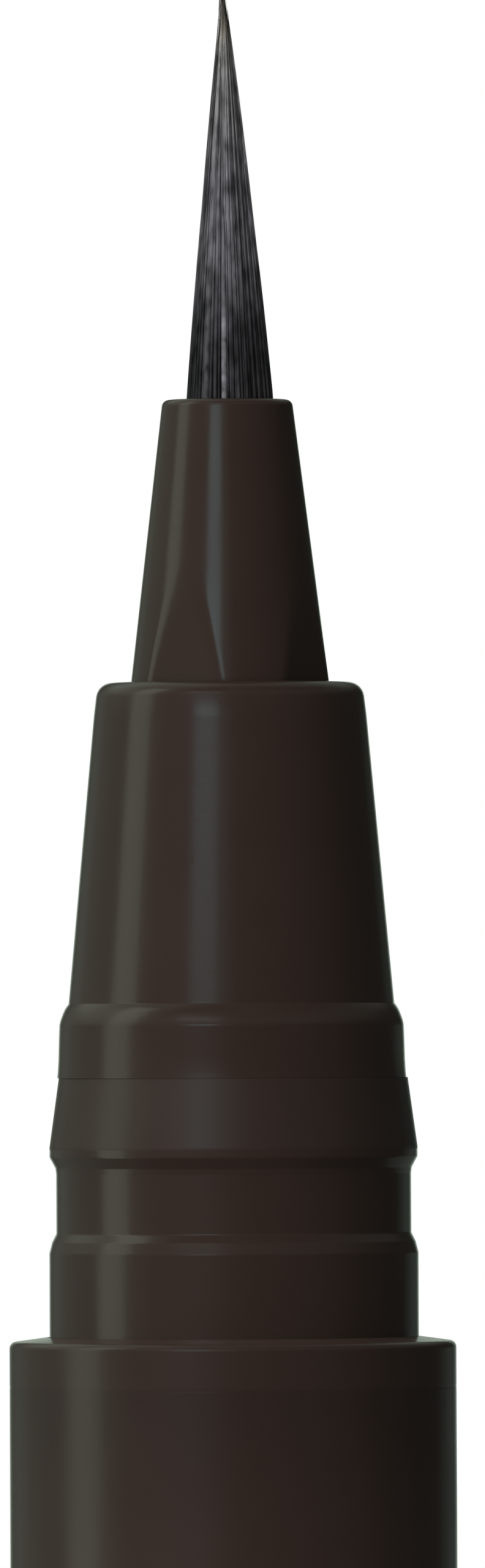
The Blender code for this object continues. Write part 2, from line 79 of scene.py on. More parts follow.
RIM_ROUND = 0.18
BAND_HEIGHT = 0.95
BAND_LIFT = 0.13
PAINTED_SHADE_UNDER_BAND = 0.88
PAINTED_SHADE_LOWER_DOWN = 1.06
LOWER_DOWN = 4.5
RIM_PAINTED_HIGHLIGHT = 0.9
RIM_HIGHLIGHT_FOOT = -0.01
RIM_HIGHLIGHT_TOP = 0.04
WITNESS_HALF_WIDTH = 0.035
WITNESS_DEPTH = 0.005
WITNESS_EDGE = 0.03
barrel_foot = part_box("barrel")[0].z
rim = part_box("barrel")[1].z


def rounded(corners, closed, most=0.45, hold=0.012, arc_step=12):
    """The outline through corners (radius, height, round), with an arc at each that has a round.

    An arc takes at most a share of the shorter side beside it. A point is held close to each end
    of the arc, so that the shading of the faces beside it stays flat.
    """
    outline = []
    last = len(corners) - 1
    for index, (radius, height, size) in enumerate(corners):
        corner = Vector((radius, height))
        if size == 0 or (not closed and index in (0, last)):
            outline.append(corner)
            continue
        before = Vector(corners[index - 1][:2]) - corner
        after = Vector(corners[(index + 1) % len(corners)][:2]) - corner
        side = min(before.length, after.length)
        before.normalize()
        after.normalize()
        half = before.angle(after) / 2
        reach = min(size / math.tan(half), most * side)
        centre = corner + (before + after).normalized() * (reach / math.cos(half))
        held = min(hold, 0.3 * (side - 2 * reach)) if most * side > reach else 0.0
        sweep = math.pi - 2 * half
        steps = max(3, math.ceil(math.degrees(sweep) / arc_step))
        start = corner + before * reach - centre
        way = 1 if start.cross(after) > 0 else -1
        if held > 0.001:
            outline.append(corner + before * (reach + held))
        for step in range(steps + 1):
            outline.append(centre + Matrix.Rotation(way * sweep * (step / steps), 2) @ start)
        if held > 0.001:
            outline.append(corner + after * (reach + held))
    return outline


def placed(name, data):
    """A new object in the scene that holds a mesh, a lamp or the camera."""
    item = bpy.data.objects.new(name, data)
    bpy.context.scene.collection.objects.link(item)
    return item


def turned(name, corners, datum, material, closed=True, segments=192):
    """A smooth body of revolution from corners in millimetres above the datum height."""
    shape = bmesh.new()
    rings = []
    for radius, height in rounded(corners, closed):
        level = datum + height * MM
        if radius < 1e-6:
            rings.append([shape.verts.new((0.0, 0.0, level))])
            continue
        ring = []
        for step in range(segments):
            angle = 2 * math.pi * step / segments
            ring.append(shape.verts.new(
                (radius * MM * math.cos(angle), radius * MM * math.sin(angle), level)))
        rings.append(ring)
    pairs = list(zip(rings, rings[1:]))
    if closed:
        pairs.append((rings[-1], rings[0]))
    for upper, lower in pairs:
        for step in range(segments):
            after = (step + 1) % segments
            if len(upper) == 1:
                shape.faces.new((upper[0], lower[step], lower[after]))
            elif len(lower) == 1:
                shape.faces.new((upper[step], lower[0], upper[after]))
            else:
                shape.faces.new((upper[step], lower[step], lower[after], upper[after]))
    bmesh.ops.recalc_face_normals(shape, faces=shape.faces)
    mesh = bpy.data.meshes.new(name)
    shape.to_mesh(mesh)
    shape.free()
    mesh.shade_smooth()
    mesh.set_sharp_from_angle(angle=SHARP_ANGLE)
    mesh.materials.append(material)
    return placed(name, mesh)


def socket(tree, side, kind, name, value=None):
    """Adds a named input or output to a node group."""
    made = tree.interface.new_socket(name=name, in_out=side, socket_type="NodeSocket" + kind)
    if value is not None:
        made.default_value = value


def feed(tree, slot, value):
    """Gives an input a plain value, or links another node's output to it."""
    if isinstance(value, bpy.types.NodeSocket):
        tree.links.new(value, slot)
    else:
        slot.default_value = value


def calculate(tree, operation, *values):
    """A Math node over numbers or sockets, returned as its output."""
    node = tree.nodes.new("ShaderNodeMath")
    node.operation = operation
    for slot, value in zip(node.inputs, values):
        feed(tree, slot, value)
    return node.outputs[0]


def ramp(tree, value, start, end, low=0.0, high=1.0, smooth=False):
    """A value that goes from low to high as another goes from start to end."""
    node = tree.nodes.new("ShaderNodeMapRange")
    node.interpolation_type = "SMOOTHSTEP" if smooth else "LINEAR"
    node.inputs["From Min"].default_value = start
    node.inputs["From Max"].default_value = end
    node.inputs["To Min"].default_value = low
    node.inputs["To Max"].default_value = high
    feed(tree, node.inputs["Value"], value)
    return node.outputs["Result"]


def noise(tree, vector, scale, detail):
    """A Noise Texture over a vector, returned as its value."""
    node = tree.nodes.new("ShaderNodeTexNoise")
    node.inputs["Detail"].default_value = detail
    feed(tree, node.inputs["Vector"], vector)
    feed(tree, node.inputs["Scale"], scale)
    return node.outputs["Fac"]


def tinted(tree, colour, factor):
    """A colour multiplied by a factor."""
    node = tree.nodes.new("ShaderNodeVectorMath")
    node.operation = "SCALE"
    feed(tree, node.inputs[0], colour)
    feed(tree, node.inputs["Scale"], factor)
    return node.outputs[0]


def place_on(tree):
    """Where on its piece each spot of a material lies."""
    return tree.nodes.new("ShaderNodeTexCoord").outputs["Object"]


def height_of(tree, place):
    """The height of a place."""
    node = tree.nodes.new("ShaderNodeSeparateXYZ")
    feed(tree, node.inputs[0], place)
    return node.outputs["Z"]


def new_finish(name):
    """A new material, its node tree and its shader."""
    material = bpy.data.materials.new(name)
    material.use_nodes = True
    return material, material.node_tree, material.node_tree.nodes["Principled BSDF"]


moulded_skin = bpy.data.node_groups.new("moulded_skin", "ShaderNodeTree")
socket(moulded_skin, "INPUT", "Color", "Colour", (0.5, 0.5, 0.5, 1.0))
socket(moulded_skin, "INPUT", "Float", "Mottle", 0.1)
socket(moulded_skin, "INPUT", "Float", "Mottle Scale", 700.0)
socket(moulded_skin, "INPUT", "Float", "Roughness", 0.3)
socket(moulded_skin, "INPUT", "Float", "Roughness Spread", 0.1)
socket(moulded_skin, "INPUT", "Float", "Grain Scale", 9000.0)
socket(moulded_skin, "OUTPUT", "Color", "Colour")
socket(moulded_skin, "OUTPUT", "Float", "Roughness")
socket(moulded_skin, "OUTPUT", "Float", "Grain")
skin_in = moulded_skin.nodes.new("NodeGroupInput").outputs
skin_out = moulded_skin.nodes.new("NodeGroupOutput").inputs
skin_place = place_on(moulded_skin)
mottle = noise(moulded_skin, skin_place, skin_in["Mottle Scale"], 3.0)
mottle = calculate(moulded_skin, "SUBTRACT", mottle, 0.5)
skin_shade = calculate(moulded_skin, "MULTIPLY_ADD", mottle, skin_in["Mottle"], 1.0)
feed(moulded_skin, skin_out["Colour"], tinted(moulded_skin, skin_in["Colour"], skin_shade))
feed(moulded_skin, skin_out["Roughness"], calculate(
    moulded_skin, "MULTIPLY_ADD", mottle, skin_in["Roughness Spread"], skin_in["Roughness"]))
feed(moulded_skin, skin_out["Grain"], noise(moulded_skin, skin_place, skin_in["Grain Scale"], 2.0))


def skinned(name, colour, roughness, mottle, mottle_scale, spread, grain_scale, grain_height):
    """A material with the moulded skin: itself, its tree, its shader and its skin node."""
    material, tree, shader = new_finish(name)
    skin = tree.nodes.new("ShaderNodeGroup")
    skin.node_tree = moulded_skin
    skin.inputs["Colour"].default_value = (*colour, 1.0)
    skin.inputs["Roughness"].default_value = roughness
    skin.inputs["Mottle"].default_value = mottle
    skin.inputs["Mottle Scale"].default_value = mottle_scale
    skin.inputs["Roughness Spread"].default_value = spread
    skin.inputs["Grain Scale"].default_value = grain_scale
    bump = tree.nodes.new("ShaderNodeBump")
    bump.inputs["Distance"].default_value = grain_height * MM
    feed(tree, shader.inputs["Base Color"], skin.outputs["Colour"])
    feed(tree, shader.inputs["Roughness"], skin.outputs["Roughness"])
    feed(tree, bump.inputs["Height"], skin.outputs["Grain"])
    feed(tree, shader.inputs["Normal"], bump.outputs["Normal"])
    return material, tree, shader, skin


barrel_plastic, tree, shader, skin = skinned(
    "satin_barrel_plastic", BROWN, roughness=0.25, mottle=0.12, mottle_scale=500.0, spread=0.10,
    grain_scale=8000.0, grain_height=0.0012)
shader.inputs["IOR"].default_value = SATIN_IOR
below_rim = calculate(tree, "SUBTRACT", rim, height_of(tree, place_on(tree)))
in_band = calculate(tree, "LESS_THAN", calculate(tree, "ABSOLUTE", below_rim), BAND_HEIGHT * MM)
# Painted shade: the colour is darker just under the band and grows lighter further down.
painted_shade_under_band = ramp(tree, below_rim, BAND_HEIGHT * MM, LOWER_DOWN * MM, PAINTED_SHADE_UNDER_BAND, PAINTED_SHADE_LOWER_DOWN)
barrel_tone_and_painted_light = calculate(tree, "MULTIPLY_ADD", in_band, BAND_LIFT, painted_shade_under_band)
# Painted highlight: the rim's rounded top edge is painted much lighter, for the light it catches.
rim_painted_highlight = ramp(tree, below_rim, -RIM_HIGHLIGHT_FOOT * MM, -RIM_HIGHLIGHT_TOP * MM, 0.0, RIM_PAINTED_HIGHLIGHT)
barrel_tone_and_painted_light = calculate(tree, "ADD", barrel_tone_and_painted_light, rim_painted_highlight)
feed(tree, shader.inputs["Base Color"], tinted(tree, skin.outputs["Colour"], barrel_tone_and_painted_light))

barrel = turned("barrel_tube", [
    (BARREL_LIP, 0.11, 0.01),
    (BARREL_RADIUS, 0.0, 0.15),
    (BARREL_RADIUS, WITNESS_HALF_WIDTH + WITNESS_EDGE - BAND_HEIGHT, 0.0),
    (BARREL_RADIUS, WITNESS_HALF_WIDTH - BAND_HEIGHT, 0.0),
    (BARREL_RADIUS - WITNESS_DEPTH, -BAND_HEIGHT, 0.0),
    (BARREL_RADIUS, -WITNESS_HALF_WIDTH - BAND_HEIGHT, 0.0),
    (BARREL_RADIUS, -WITNESS_HALF_WIDTH - WITNESS_EDGE - BAND_HEIGHT, 0.0),
    (BARREL_RADIUS, -BARREL_LENGTH, RIM_ROUND),
    (BARREL_BORE, -BARREL_LENGTH, 0.02),
    (BARREL_BORE, -0.30, 0.0),
    (BARREL_LIP, -0.22, 0.0),
], rim, barrel_plastic)
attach(barrel, "pen")
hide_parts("barrel")

# Snap collar: moulded in the same brown plastic and pressed into the barrel. Its seat ring meets
# the barrel's rim, the groove takes the cap's bead, and the ridge above it snaps past that bead.
# The lead-in over the ridge is rubbed dull by the cap, and the nose above is a little glossier.
COLLAR_BORE = 2.90
COLLAR_FOOT = -9.0
COLLAR_FOOT_CHAMFER = 0.15
COLLAR_OFF_CENTRE = 0.03
SEAT_RADIUS = 3.925
SEAT_TOP = 1.89
SEAT_CHAMFER = (3.863, 2.13)
GROOVE_RADIUS = 3.773
GROOVE_FOOT = 2.31
GROOVE_TOP = 3.58
RIDGE_RADIUS = 3.912
RIDGE_FOOT = 3.93
RIDGE_TOP = 4.14
RIDGE_UNDERCUT = (3.789, 3.70)
LEAD_IN_MIDDLE = 4.85
LEAD_IN_HALF_HEIGHT = 0.76
LEAD_IN_HEAD = (3.720, 5.53)
JOINT_RADIUS = 3.710
JOINT_HEIGHT = 5.608
NOSE_SHOWS_FROM = 14.05
FRONT_ROUGHNESS = 0.20
RUBBED_DULL = 0.14
NOSE_POLISH = -0.01
front_plastic, tree, shader, skin = skinned(
    "satin_front_plastic", BROWN, roughness=FRONT_ROUGHNESS, mottle=0.12, mottle_scale=600.0,
    spread=0.10, grain_scale=8000.0, grain_height=0.0012)
shader.inputs["IOR"].default_value = SATIN_IOR
front_height = height_of(tree, place_on(tree))
from_lead_in = calculate(tree, "SUBTRACT", front_height, rim + LEAD_IN_MIDDLE * MM)
on_lead_in = calculate(
    tree, "LESS_THAN", calculate(tree, "ABSOLUTE", from_lead_in), LEAD_IN_HALF_HEIGHT * MM)
on_nose = calculate(tree, "GREATER_THAN", front_height, rim + NOSE_SHOWS_FROM * MM)
front_rough = calculate(tree, "MULTIPLY_ADD", on_nose, NOSE_POLISH, FRONT_ROUGHNESS)
front_rough = calculate(tree, "MULTIPLY_ADD", on_lead_in, RUBBED_DULL, front_rough)
feed(tree, skin.inputs["Roughness"], front_rough)

collar = turned("snap_collar_ring", [
    (COLLAR_BORE, JOINT_HEIGHT, 0.0),
    (JOINT_RADIUS, JOINT_HEIGHT, 0.002),
    (*LEAD_IN_HEAD, 0.0),
    (RIDGE_RADIUS, RIDGE_TOP, 0.10),
    (RIDGE_RADIUS, RIDGE_FOOT, 0.10),
    (*RIDGE_UNDERCUT, 0.08),
    (GROOVE_RADIUS, GROOVE_TOP, 0.08),
    (GROOVE_RADIUS, GROOVE_FOOT, 0.10),
    (*SEAT_CHAMFER, 0.10),
    (SEAT_RADIUS, SEAT_TOP, 0.16),
    (SEAT_RADIUS, COLLAR_FOOT + COLLAR_FOOT_CHAMFER, 0.05),
    (GROOVE_RADIUS, COLLAR_FOOT, 0.0),
    (COLLAR_BORE, COLLAR_FOOT, 0.0),
], rim, front_plastic)
collar.data.transform(Matrix.Translation((COLLAR_OFF_CENTRE * MM, 0.0, 0.0)))
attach(collar, "pen")
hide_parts("snap_collar")

# Front sleeve: a brown plastic taper with a rounded ring at its foot, moulded in one.
# Its long stem is pressed into the snap collar, and its mouth holds the nose cone.
SLEEVE_BORE = 2.145
SLEEVE_CHAMBER = 2.445
SLEEVE_CHAMBER_TOP = 12.01
SLEEVE_STEM = 2.86
SLEEVE_STEM_FOOT = -3.98
SLEEVE_TIP_RADIUS = 2.814
SLEEVE_TIP_ROUND = 0.42
SLEEVE_TOP = 14.01
TAPER_BEND = (2.900, 13.30)
TAPER_BEND_ROUND = 4.0
TAPER_FOOT = (3.462, 7.19)
RING_OUTLINE = (
    (3.51, 7.125), (3.55, 7.06), (3.585, 6.98), (3.615, 6.90), (3.642, 6.82), (3.655, 6.76),
    (3.66, 6.735), (3.661, 6.70), (3.665, 6.62), (3.671, 6.45), (3.678, 6.20), (3.684, 5.98),
    (3.689, 5.90), (3.694, 5.82), (3.699, 5.73), (3.706, 5.66),
)
RING_FOOT = 5.610
sleeve = turned("front_sleeve_taper", [
    (SLEEVE_BORE, SLEEVE_TOP, 0.03),
    (SLEEVE_TIP_RADIUS, SLEEVE_TOP, SLEEVE_TIP_ROUND),
    (*TAPER_BEND, TAPER_BEND_ROUND),
    (*TAPER_FOOT, 0.03),
    *((radius, height, 0.0) for radius, height in RING_OUTLINE),
    (JOINT_RADIUS, RING_FOOT, 0.002),
    (SLEEVE_STEM, RING_FOOT, 0.0),
    (SLEEVE_STEM, SLEEVE_STEM_FOOT, 0.0),
    (SLEEVE_CHAMBER, SLEEVE_STEM_FOOT, 0.0),
    (SLEEVE_CHAMBER, SLEEVE_CHAMBER_TOP, 0.0),
    (SLEEVE_BORE, SLEEVE_CHAMBER_TOP, 0.0),
], rim, front_plastic)
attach(sleeve, "pen")
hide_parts("front_sleeve")

# Nose cone: a slim brown plastic cone, pushed up from behind until its flange stops in the sleeve.
# Four shallow flats, moulded round its foot, let air past it and run out to points on the taper.
NOSE_FOOT_RADIUS = 2.105
NOSE_TIP_RADIUS = 1.378
NOSE_TIP_ROUND = 0.15
NOSE_TOP = 20.02
NOSE_BORE = 0.948
NOSE_LEAN = 0.035
NOSE_FLANGE_RADIUS = 2.405
NOSE_FLANGE_TOP = 11.96
NOSE_FLANGE_FOOT = 10.71
NOSE_STEM_RADIUS = 2.045
NOSE_STEM_FOOT = 5.11
RETAINER_BORE = 1.168
RETAINER_TOP = 14.37
FLAT_HEAD = 17.0
FLAT_ROWS = 56
FLAT_FOOT = 1.905
FLAT_SLOPE = math.tan(math.radians(1.2))
FLAT_SOFTNESS = 0.06
FLAT_AZIMUTH = math.radians(239.3)
nose_height = NOSE_TOP - SLEEVE_TOP
flat_rows = []
for row in range(FLAT_ROWS):
    height = FLAT_HEAD - row * (FLAT_HEAD - NOSE_FLANGE_TOP) / (FLAT_ROWS - 1)
    narrower = (NOSE_FOOT_RADIUS - NOSE_TIP_RADIUS) * (height - SLEEVE_TOP) / nose_height
    flat_rows.append((min(NOSE_FOOT_RADIUS - narrower, NOSE_FOOT_RADIUS), height, 0.0))
nose = turned("nose_cone_taper", [
    (NOSE_BORE, NOSE_TOP, 0.03),
    (NOSE_TIP_RADIUS, NOSE_TOP, NOSE_TIP_ROUND),
    *flat_rows,
    (NOSE_FLANGE_RADIUS, NOSE_FLANGE_TOP, 0.0),
    (NOSE_FLANGE_RADIUS, NOSE_FLANGE_FOOT, 0.0),
    (NOSE_STEM_RADIUS, NOSE_FLANGE_FOOT, 0.0),
    (NOSE_STEM_RADIUS, NOSE_STEM_FOOT, 0.0),
    (RETAINER_BORE, NOSE_STEM_FOOT, 0.0),
    (RETAINER_BORE, RETAINER_TOP, 0.0),
    (NOSE_BORE, RETAINER_TOP, 0.0),
], rim, front_plastic, segments=384)
for vertex in nose.data.vertices:
    radius = math.hypot(vertex.co.x, vertex.co.y) / MM
    above = (vertex.co.z - rim) / MM - SLEEVE_TOP
    on_stem = above < NOSE_FLANGE_FOOT - 0.02 - SLEEVE_TOP
    if on_stem or radius <= NOSE_BORE + FLAT_SOFTNESS:
        continue
    azimuth = math.atan2(vertex.co.y, vertex.co.x) - FLAT_AZIMUTH
    off = (azimuth + math.pi / 4) % (math.pi / 2) - math.pi / 4
    flat = (FLAT_FOOT - FLAT_SLOPE * above) / math.cos(off)
    blend = max(FLAT_SOFTNESS - abs(radius - flat), 0.0) / FLAT_SOFTNESS
    cut = min(radius, flat) - blend * blend * FLAT_SOFTNESS / 4
    lean = NOSE_LEAN * MM * max(above, 0.0) / nose_height
    vertex.co.x = vertex.co.x * cut / radius - lean
    vertex.co.y *= cut / radius
nose.data.update()
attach(nose, "pen")
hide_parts("nose_cone")

# Brush: several hundred tapered filaments, wet with near-black ink and drawn in to one fine point.
# They are fused into a backing disc at their roots, which sits inside the nose cone's mouth.
# The ink is thick at the foot, thins upwards in clots and is nearly dry at the warm brown tip. Its
# colour grows lighter upwards, partly for the thinner ink and partly as painted light for the
# backlight that shines through the thin filaments.
BRUSH_RADIUS = 0.908
BRUSH_LENGTH = 8.70
BRUSH_SINK = 0.35
BRUSH_BACKING = 0.30
BRUSH_LEAN = 0.10
BRUSH_OFF_CENTRE = 0.025
BRUSH_MARGIN = 0.03
FILAMENT_RADIUS = 0.038
FILAMENT_STRAY = 0.05
BARE_FILAMENT = 625
FAINTER_FILAMENT = 596
# How the filaments end, swell and come to a point, in shares of the brush's length and radius.
FULL_FILAMENTS = 6
SHORTENING = 0.52
SHORTENING_CURVE = 1.6
OUTERMOST_FROM = 0.93
STOPPED_SHARE = 0.35
STOPPED_REACH = 0.32
STOPPED_SPREAD = 0.2
BELLY = 0.20
UPPER_BELLY = 0.25
POINT_WIDTH = 0.05
POINT_HOOK = 0.45
LEAST_THICKNESS = 0.16
POINTING = 0.8
# How the ink differs from filament to filament. A side tint is painted light and shade by where a
# filament stands from left to right as seen: a start and an end, and the tint at each.
CLUMP_SCALE = 4.0
CLUMP_CONTRAST = 1.6
CLUMP_TINT = 0.75
STRAND_CONTRAST = 0.3
LEAST_TINT = 0.1
SIDE_PAINTED_LIGHT = ((-0.95, -0.40, 0.42, 1.0), (0.50, 0.90, 1.0, 1.8), (0.05, 0.40, 1.0, 0.55))
BARE_TO = 0.17
COVERED_FROM = 0.24
FAINTER = 0.28
BARE_SWELL = 0.9
# How the ink lies along a filament, with heights from the rim.
FILM_SCALE = 9000.0
CLOT_SCALE = 5200.0
CLOT_CONTRAST = 3.2
LEAST_CLOT = 0.25
BEAD_SCALE = 4500.0
BEAD_CONTRAST = 3.0
BEAD_LEVEL = -0.6
LEAST_BEAD = 0.2
BARE_SHADE = 0.12
THICK_INK_TO = 20.8
THIN_INK_FROM = 23.8
THICK_INK_SHADE = 0.028
THIN_INK_SHADE = 0.125
DRYING_FROM = 24.6
DRY_FROM = 27.8
DRY_LIFT = 0.9
TIP_FROM = 27.3
TIP_FULL = 28.0
TIP_LIFT = -0.45
WET_HUE = (1.0, 0.97, 1.06, 1.0)
DRY_HUE = (1.02, 1.01, 0.97, 1.0)
TIP_HUE = (1.10, 1.0, 0.86, 1.0)
INK_ROUGHNESS = 0.36
INK_ROUGHNESS_SPREAD = 0.25
wet_filament, ink_tree, shader = new_finish("ink_wet_filament")
shader.inputs["IOR"].default_value = 1.50
shader.inputs["Specular IOR Level"].default_value = 0.2


def ink_math(operation, *values):
    """A Math node in the ink's material."""
    return calculate(ink_tree, operation, *values)


def strand_value(name):
    """A value that the brush's Geometry Nodes tree stored on its filaments."""
    node = ink_tree.nodes.new("ShaderNodeAttribute")
    node.attribute_name = name
    return node.outputs["Fac"]


def drawn_out(vector, along):
    """A place whose height counts for less, so that a pattern over it runs along the filaments."""
    node = ink_tree.nodes.new("ShaderNodeMapping")
    node.inputs["Scale"].default_value = (1.0, 1.0, along)
    feed(ink_tree, node.inputs["Vector"], vector)
    return node.outputs["Vector"]


def blended(factor, plain, full):
    """A mix of two colours, from plain at a factor of 0 to full at 1."""
    node = ink_tree.nodes.new("ShaderNodeMix")
    node.data_type = "RGBA"
    feed(ink_tree, node.inputs["Factor"], factor)
    feed(ink_tree, node.inputs[6], plain)
    feed(ink_tree, node.inputs[7], full)
    return node.outputs[2]


brush_place = place_on(ink_tree)
brush_height = height_of(ink_tree, brush_place)
ink_film = noise(ink_tree, drawn_out(brush_place, 0.12), FILM_SCALE, 2.0)
clots = noise(ink_tree, drawn_out(brush_place, 0.35), CLOT_SCALE, 2.0)
clots = ink_math("MULTIPLY_ADD", ink_math("SUBTRACT", clots, 0.5), CLOT_CONTRAST, 1.0)
clots = ink_math("MAXIMUM", clots, LEAST_CLOT)
# Painted light: these ramps lighten the colour up the brush, partly for thinner, drier ink and
# partly for backlight shining through the thin filaments.
thin_ink_and_painted_backlight = ramp(ink_tree, brush_height, rim + THICK_INK_TO * MM, rim + THIN_INK_FROM * MM,
               THICK_INK_SHADE, THIN_INK_SHADE, smooth=True)
dry_ink_and_painted_backlight = ramp(ink_tree, brush_height, rim + DRYING_FROM * MM, rim + DRY_FROM * MM)
at_tip = ramp(ink_tree, brush_height, rim + TIP_FROM * MM, rim + TIP_FULL * MM, smooth=True)
beads = noise(ink_tree, brush_place, BEAD_SCALE, 1.0)
beads = ink_math("MULTIPLY_ADD", beads, BEAD_CONTRAST, BEAD_LEVEL)
beads = ink_math("MAXIMUM", beads, LEAST_BEAD)
# The strand tint carries the random ink tint and the painted light and shade by side.
ink_shade = ink_math("MULTIPLY", strand_value("strand_tint_and_painted_light"), clots)
ink_shade = ink_math("MULTIPLY", ink_shade, ink_math("MULTIPLY_ADD", ink_film, 1.0, 0.5))
ink_shade = ink_math("MULTIPLY", ink_shade, thin_ink_and_painted_backlight)
ink_shade = ink_math("MULTIPLY", ink_shade, ink_math("MULTIPLY_ADD", dry_ink_and_painted_backlight, DRY_LIFT, 1.0))
bare_shade = ink_math("MULTIPLY", beads, BARE_SHADE)
ink_shade = ink_math("MULTIPLY_ADD", strand_value("strand_bare"), bare_shade, ink_shade)
ink_shade = ink_math("MULTIPLY", ink_shade, ink_math("MULTIPLY_ADD", at_tip, TIP_LIFT, 1.0))
ink_hue = blended(at_tip, blended(dry_ink_and_painted_backlight, WET_HUE, DRY_HUE), TIP_HUE)
feed(ink_tree, shader.inputs["Base Color"], tinted(ink_tree, ink_hue, ink_shade))
feed(ink_tree, shader.inputs["Roughness"],
     ink_math("MULTIPLY_ADD", ink_film, INK_ROUGHNESS_SPREAD, INK_ROUGHNESS))


def recipe(name, inputs):
    """A new Geometry Nodes tree with named inputs of these kinds, its inputs and its linker."""
    tree = bpy.data.node_groups.new(name, "GeometryNodeTree")
    for label, kind in inputs.items():
        socket(tree, "INPUT", kind, label)
    socket(tree, "OUTPUT", "Geometry", "Geometry")
    return tree, tree.nodes.new("NodeGroupInput").outputs, tree.links.new


def swept(tree, curve, sides, radius, scale=1.0):
    """Curves given a round section of so many sides, with their ends closed."""
    section = tree.nodes.new("GeometryNodeCurvePrimitiveCircle")
    section.inputs["Resolution"].default_value = sides
    feed(tree, section.inputs["Radius"], radius)
    sweep = tree.nodes.new("GeometryNodeCurveToMesh")
    sweep.inputs["Fill Caps"].default_value = True
    feed(tree, sweep.inputs["Curve"], curve)
    feed(tree, sweep.inputs["Profile Curve"], section.outputs["Curve"])
    feed(tree, sweep.inputs["Scale"], scale)
    return sweep.outputs["Mesh"]


def handed_over(tree, mesh, material):
    """The end of a tree: its instances made real and its material set."""
    realize = tree.nodes.new("GeometryNodeRealizeInstances")
    feed(tree, realize.inputs["Geometry"], mesh)
    dress = tree.nodes.new("GeometryNodeSetMaterial")
    feed(tree, dress.inputs["Geometry"], realize.outputs["Geometry"])
    feed(tree, dress.inputs["Material"], material)
    group_output = tree.nodes.new("NodeGroupOutput")
    feed(tree, group_output.inputs["Geometry"], dress.outputs["Geometry"])


def grown(name, tree, values):
    """The plain mesh object that a Geometry Nodes tree makes with these input values."""
    seed = placed(name + "_seed", bpy.data.meshes.new(name + "_seed"))
    modifier = seed.modifiers.new(name, "NODES")
    modifier.node_group = tree
    for item in tree.interface.items_tree:
        if item.in_out == "INPUT":
            modifier[item.identifier] = values[item.name]
    depsgraph = bpy.context.evaluated_depsgraph_get()
    mesh = bpy.data.meshes.new_from_object(seed.evaluated_get(depsgraph))
    seed.modifiers.remove(modifier)
    bpy.data.objects.remove(seed)
    mesh.name = name
    return placed(name, mesh)


brush_tree, brush_in, join = recipe("brush_filaments", {
    "Count": "Int",
    "Steps": "Int",
    "Foot Radius": "Float",
    "Length": "Float",
    "Sink": "Float",
    "Lean": "Float",
    "Foot Height": "Float",
    "Filament Radius": "Float",
    "Stray": "Float",
    "Bare Filament": "Int",
    "Fainter Filament": "Int",
    "Seed": "Int",
    "Material": "Material",
})
line = brush_tree.nodes.new("GeometryNodeCurvePrimitiveLine")
line.inputs["End"].default_value = (0.0, 0.0, 0.01)
resample = brush_tree.nodes.new("GeometryNodeResampleCurve")
join(line.outputs["Curve"], resample.inputs["Curve"])
join(brush_in["Steps"], resample.inputs["Count"])
copies = brush_tree.nodes.new("GeometryNodeDuplicateElements")
copies.domain = "SPLINE"
join(resample.outputs["Curve"], copies.inputs["Geometry"])
join(brush_in["Count"], copies.inputs["Amount"])
number = copies.outputs["Duplicate Index"]
share = brush_tree.nodes.new("GeometryNodeSplineParameter").outputs["Factor"]


def brush_math(operation, *values):
    """A Math node in the brush's Geometry Nodes tree."""
    return calculate(brush_tree, operation, *values)


def draw(seed_offset):
    """A random number from 0 to 1 for each filament."""
    node = brush_tree.nodes.new("FunctionNodeRandomValue")
    join(number, node.inputs["ID"])
    join(brush_math("ADD", brush_in["Seed"], seed_offset), node.inputs["Seed"])
    return node.outputs[1]


def brush_spot(x, y, z):
    """A place from its three coordinates."""
    node = brush_tree.nodes.new("ShaderNodeCombineXYZ")
    for name, value in (("X", x), ("Y", y), ("Z", z)):
        join(value, node.inputs[name])
    return node.outputs["Vector"]


def marked(geometry, domain, name, value):
    """The filaments with a value stored on them, for their material to read."""
    node = brush_tree.nodes.new("GeometryNodeStoreNamedAttribute")
    node.domain = domain
    node.inputs["Name"].default_value = name
    join(geometry, node.inputs["Geometry"])
    join(value, node.inputs["Value"])
    return node.outputs["Geometry"]


# Roots lie in a sunflower spiral. Six filaments reach the point, the rest end lower at random, and
# a third of the outermost ones stop early.
field = brush_math("SUBTRACT", brush_in["Foot Radius"], brush_in["Filament Radius"])
root_share = brush_math("DIVIDE", brush_math("ADD", number, 0.5), brush_in["Count"])
root_share = brush_math("SQRT", root_share)
root_angle = brush_math("MULTIPLY", number, math.pi * (3 - math.sqrt(5)))
root_cosine = brush_math("COSINE", root_angle)
root_sine = brush_math("SINE", root_angle)
ending = draw(0)
reach = brush_math("MULTIPLY", brush_math("POWER", ending, SHORTENING_CURVE), SHORTENING)
reach = brush_math("SUBTRACT", 1.0, reach)
reach = brush_math("MAXIMUM", reach, brush_math("LESS_THAN", number, FULL_FILAMENTS))
outermost = brush_math("GREATER_THAN", root_share, OUTERMOST_FROM)
stopped = brush_math("LESS_THAN", draw(4), STOPPED_SHARE)
stopped = brush_math("MULTIPLY", outermost, stopped)
early = brush_math("MULTIPLY_ADD", ending, STOPPED_SPREAD, STOPPED_REACH)
reach = brush_math("ADD", brush_math("MULTIPLY", stopped, early),
                   brush_math("MULTIPLY", brush_math("SUBTRACT", 1.0, stopped), reach))

